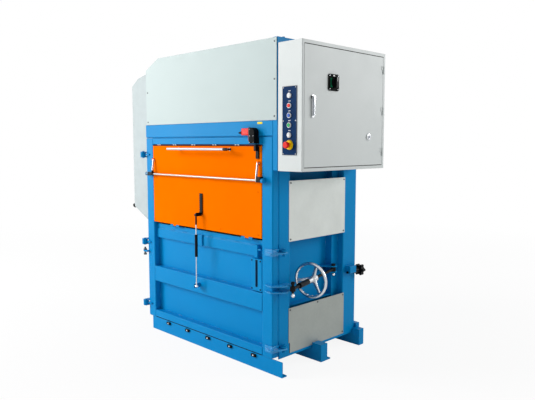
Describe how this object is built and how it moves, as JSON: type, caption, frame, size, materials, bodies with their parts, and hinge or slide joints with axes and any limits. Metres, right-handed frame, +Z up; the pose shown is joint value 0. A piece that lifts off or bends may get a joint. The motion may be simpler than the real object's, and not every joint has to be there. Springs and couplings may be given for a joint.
{
  "type": "recycling baler",
  "caption": "Upright recycling baler: ribbed door with fold-down feed flap, platen under a hood, swing lock with handwheel, side control cabinet and feet channels.",
  "frame": {"origin": "on the floor, at the middle of the press body seen from above, on the underside of the middle foot beam", "axes": "+Z up; -Y towards the operator, so the door and the feed flap face -Y; +X towards the control cabinet"},
  "size_m": [2.001, 0.97, 2.111],
  "materials": {
    "blue_paint": "satin blue enamel on welded steel",
    "orange_paint": "satin orange enamel on sheet steel",
    "pale_paint": "smooth pale grey powder coat",
    "cabinet_paint": "fine textured light grey powder coat",
    "zinc_sheet": "bare galvanised sheet",
    "dark_steel": "mill steel, lightly oiled",
    "polished_steel": "ground and hard-chromed bar",
    "zinc_plated": "bright zinc plating",
    "cast_aluminium": "sand cast and polished rim",
    "black_plastic": "fine grained black plastic",
    "red_plastic": "glossy red plastic",
    "navy_plastic": "dark blue film on aluminium",
    "blue_plastic": "glossy blue plastic",
    "green_plastic": "glossy green plastic",
    "white_plastic": "glossy white plastic"
  },
  "bodies": {
    "frame": {"base_beam_front": "blue_paint", "base_beam_middle": "blue_paint", "base_beam_rear": "blue_paint", "floor_plate": "dark_steel", "side_wall_left": "blue_paint", "side_wall_right": "blue_paint", "rear_wall": "blue_paint", "front_post_left": "blue_paint", "front_post_right": "blue_paint", "rear_posts": "blue_paint", "header_beam": "blue_paint", "crosshead": "blue_paint", "cylinder_barrel": "dark_steel", "hood_front": "pale_paint", "hood_shell": "pale_paint", "left_cover": "pale_paint", "side_plates": "zinc_sheet", "cabinet_rails": "blue_paint", "oil_tank": "dark_steel", "pump_motor": "dark_steel", "valve_block": "dark_steel", "hinge_pins": "blue_paint", "strap_guides": "black_plastic", "clevis_bolt": "zinc_plated", "cabinet_shell": "cabinet_paint", "cabinet_front_frame": "cabinet_paint", "switch_gear": "black_plastic", "control_plate": "navy_plastic", "button_bezels": "white_plastic"},
    "door": {"door_post_left": "blue_paint", "door_post_right": "blue_paint", "door_rails": "blue_paint", "door_knuckles": "blue_paint", "lock_forks": "blue_paint", "locating_plates": "blue_paint", "slot_plate": "blue_paint", "interlock_switch": "black_plastic"},
    "flap": {"flap_panel": "orange_paint", "flap_handle": "cast_aluminium", "gas_bracket": "black_plastic", "interlock_key": "black_plastic"},
    "bar": {"flap_bar": "polished_steel"},
    "spring_tube": {"gas_cylinder": "dark_steel"},
    "spring_rod": {"gas_rod": "polished_steel"},
    "lock": {"lock_arm": "dark_steel"},
    "wheel": {"handwheel": "cast_aluminium"},
    "screw": {"lock_rod": "zinc_plated"},
    "press": {"platen": "blue_paint", "piston_rod": "polished_steel"},
    "sleeve": {"ram_sleeve": "polished_steel"},
    "cabinet_leaf": {"cabinet_door": "cabinet_paint", "switch_plate": "black_plastic"},
    "leaf_handle": {"cabinet_handle": "polished_steel"},
    "switch": {"main_switch": "black_plastic"},
    "red_button": {"button_red": "red_plastic"},
    "blue_button": {"button_blue": "blue_plastic"},
    "green_button": {"button_green": "green_plastic"},
    "white_button": {"button_white": "white_plastic"},
    "stop": {"stop_button": "red_plastic"},
    "knob": {"star_knob": "black_plastic"}
  },
  "joints": [
    {"name": "door_swing", "type": "hinge", "parent": "frame", "child": "door", "pos_m": [-0.72, -0.442, 0.693], "axis": [0, 0, 1], "range_deg": [-110, 0]},
    {"name": "flap_fold", "type": "hinge", "parent": "door", "child": "flap", "pos_m": [0, -0.424, 0.856], "axis": [1, 0, 0], "range_deg": [0, 90]},
    {"name": "flap_bar_swing", "type": "hinge", "parent": "flap", "child": "bar", "pos_m": [0, -0.44, 1.342], "axis": [1, 0, 0], "range_deg": [-40, 0]},
    {"name": "spring_swivel", "type": "hinge", "parent": "flap", "child": "spring_tube", "pos_m": [-0.023, -0.47, 0.965], "axis": [1, 0, 0], "range_deg": [-82, 0]},
    {"name": "spring_stroke", "type": "slide", "parent": "spring_tube", "child": "spring_rod", "axis": [0, 0.0039, 1], "range_m": [0, 0.151]},
    {"name": "lock_swing", "type": "hinge", "parent": "frame", "child": "lock", "pos_m": [0.671, 0.205, 0.582], "axis": [0, 0, 1], "range_deg": [-2.4, 60]},
    {"name": "wheel_turn", "type": "hinge", "parent": "lock", "child": "wheel", "pos_m": [0.72488, -0.07218, 0.56695], "axis": [-0.1905, 0.9802, 0.0532], "range_deg": [0, 720]},
    {"name": "screw_travel", "type": "slide", "parent": "lock", "child": "screw", "axis": [0.1905, -0.9802, -0.0532], "range_m": [0, 0.01]},
    {"name": "platen_stroke", "type": "slide", "parent": "frame", "child": "press", "axis": [0, 0, -1], "range_m": [0, 0.7]},
    {"name": "sleeve_stroke", "type": "slide", "parent": "frame", "child": "sleeve", "axis": [0, 0, -1], "range_m": [0, 0.35]},
    {"name": "cabinet_door_swing", "type": "hinge", "parent": "frame", "child": "cabinet_leaf", "pos_m": [0.9394, 0.3855, 1.68], "axis": [0, 0, 1], "range_deg": [0, 110]},
    {"name": "leaf_handle_turn", "type": "hinge", "parent": "cabinet_leaf", "child": "leaf_handle", "pos_m": [0.945, -0.346, 1.736], "axis": [1, 0, 0], "range_deg": [0, 90]},
    {"name": "main_switch_turn", "type": "hinge", "parent": "cabinet_leaf", "child": "switch", "pos_m": [0.945, -0.148, 1.835], "axis": [1, 0, 0], "range_deg": [0, 90]},
    {"name": "red_button_push", "type": "slide", "parent": "frame", "child": "red_button", "axis": [0, 1, 0], "range_m": [0, 0.004], "stiffness_N_per_m": 500, "springref_m": -0.002},
    {"name": "blue_button_push", "type": "slide", "parent": "frame", "child": "blue_button", "axis": [0, 1, 0], "range_m": [0, 0.004], "stiffness_N_per_m": 500, "springref_m": -0.002},
    {"name": "green_button_push", "type": "slide", "parent": "frame", "child": "green_button", "axis": [0, 1, 0], "range_m": [0, 0.004], "stiffness_N_per_m": 500, "springref_m": -0.002},
    {"name": "white_button_push", "type": "slide", "parent": "frame", "child": "white_button", "axis": [0, 1, 0], "range_m": [0, 0.004], "stiffness_N_per_m": 500, "springref_m": -0.002},
    {"name": "stop_push", "type": "slide", "parent": "frame", "child": "stop", "axis": [0, 1, 0], "range_m": [0, 0.005], "stiffness_N_per_m": 900, "springref_m": -0.002},
    {"name": "star_knob_turn", "type": "hinge", "parent": "frame", "child": "knob", "pos_m": [0.72, 0.43, 0.549], "axis": [0, 1, 0], "continuous": true}
  ],
  "couplings": [
    {"joint": "spring_swivel", "follows": "flap_fold", "ratio": -0.88917},
    {"joint": "spring_stroke", "follows": "flap_fold", "m_per_rad": 0.095366},
    {"joint": "screw_travel", "follows": "wheel_turn", "m_per_rad": 0.00079577},
    {"joint": "sleeve_stroke", "follows": "platen_stroke", "ratio": 0.5}
  ]
}
